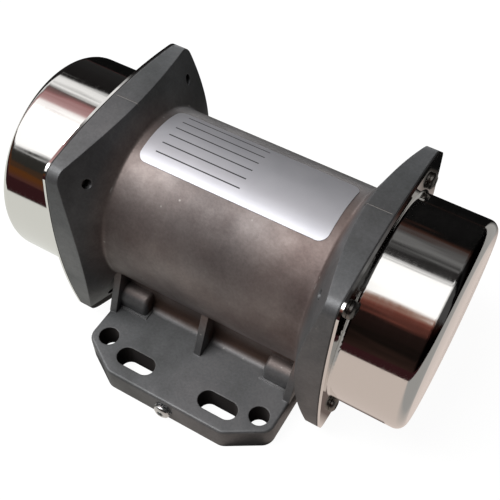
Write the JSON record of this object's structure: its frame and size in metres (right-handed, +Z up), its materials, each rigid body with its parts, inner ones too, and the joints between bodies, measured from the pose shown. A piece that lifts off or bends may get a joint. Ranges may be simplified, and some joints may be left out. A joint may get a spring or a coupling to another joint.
{
  "type": "vibration motor",
  "caption": "Compact external vibration motor: finned cast housing on a slotted foot, polished domed end covers, and adjustable eccentric weights on a shaft in ball bearings.",
  "frame": {"origin": "centre of the foot's underside, in the plane that bolts to the machine, below the middle of the shaft", "axes": "+X along the shaft, +Y across the foot towards the cable entry, +Z up from the foot through the shaft"},
  "size_m": [0.147, 0.1108, 0.0783],
  "materials": {
    "cast_aluminium": "fine as-cast die-cast aluminium",
    "machined_aluminium": "turned",
    "laminations": "stacked electrical steel",
    "winding_wire": "lacquered copper wire, impregnated",
    "shaft_steel": "ground",
    "bearing_steel": "polished",
    "cage_plastic": "moulded polyamide",
    "seal_rubber": "matt",
    "weight_steel": "zinc plated and passivated",
    "plated_steel": "zinc plated",
    "spring_steel": "blackened",
    "screw_steel": "stainless",
    "gasket_rubber": "matt",
    "cover_steel": "polished stainless sheet",
    "label_foil": "thin satin plate",
    "gland_plastic": "moulded polyamide",
    "gland_rubber": "matt"
  },
  "bodies": {
    "frame": {"housing": "cast_aluminium", "stator_core": "laminations", "stator_windings": "winding_wire", "gland_body": "gland_plastic", "gland_nut": "gland_plastic", "gland_seal": "gland_rubber", "earth_screw": "screw_steel", "earth_washer": "plated_steel", "rating_label": "label_foil", "bearing_shield_left": "machined_aluminium", "shield_screws_left": "plated_steel", "bearing_outer_ring_left": "bearing_steel", "bearing_seals_left": "seal_rubber", "cover_gasket_left": "gasket_rubber", "end_cover_left": "cover_steel", "cover_screws_left": "screw_steel", "bearing_shield_right": "machined_aluminium", "shield_screws_right": "plated_steel", "bearing_outer_ring_right": "bearing_steel", "bearing_seals_right": "seal_rubber", "cover_gasket_right": "gasket_rubber", "end_cover_right": "cover_steel", "cover_screws_right": "screw_steel"},
    "rotor": {"shaft": "shaft_steel", "rotor_core": "laminations", "rotor_end_rings": "machined_aluminium", "bearing_inner_ring_left": "bearing_steel", "fixed_weight_left": "weight_steel", "weight_key_left": "plated_steel", "spacer_bush_left": "plated_steel", "weight_shim_left": "plated_steel", "weight_washer_left": "plated_steel", "retaining_ring_left": "spring_steel", "bearing_inner_ring_right": "bearing_steel", "fixed_weight_right": "weight_steel", "weight_key_right": "plated_steel", "spacer_bush_right": "plated_steel", "weight_shim_right": "plated_steel", "weight_washer_right": "plated_steel", "retaining_ring_right": "spring_steel"},
    "left_ball_train": {"bearing_balls_left": "bearing_steel", "bearing_cage_left": "cage_plastic"},
    "left_set_weight": {"adjustable_weight_left": "weight_steel", "clamp_screw_left": "screw_steel"},
    "right_ball_train": {"bearing_balls_right": "bearing_steel", "bearing_cage_right": "cage_plastic"},
    "right_set_weight": {"adjustable_weight_right": "weight_steel", "clamp_screw_right": "screw_steel"}
  },
  "joints": [
    {"name": "rotor_spin", "type": "hinge", "parent": "frame", "child": "rotor", "pos_m": [0, 0, 0.04], "axis": [1, 0, 0], "continuous": true},
    {"name": "left_ball_train_spin", "type": "hinge", "parent": "frame", "child": "left_ball_train", "pos_m": [-0.038, 0, 0.04], "axis": [1, 0, 0], "continuous": true},
    {"name": "left_weight_setting", "type": "hinge", "parent": "rotor", "child": "left_set_weight", "pos_m": [-0.06135, 0, 0.04], "axis": [1, 0, 0], "range_deg": [0, 180]},
    {"name": "right_ball_train_spin", "type": "hinge", "parent": "frame", "child": "right_ball_train", "pos_m": [0.038, 0, 0.04], "axis": [1, 0, 0], "continuous": true},
    {"name": "right_weight_setting", "type": "hinge", "parent": "rotor", "child": "right_set_weight", "pos_m": [0.06135, 0, 0.04], "axis": [1, 0, 0], "range_deg": [0, 180]}
  ],
  "couplings": [
    {"joint": "left_ball_train_spin", "follows": "rotor_spin", "ratio": 0.365},
    {"joint": "right_ball_train_spin", "follows": "rotor_spin", "ratio": 0.365}
  ]
}
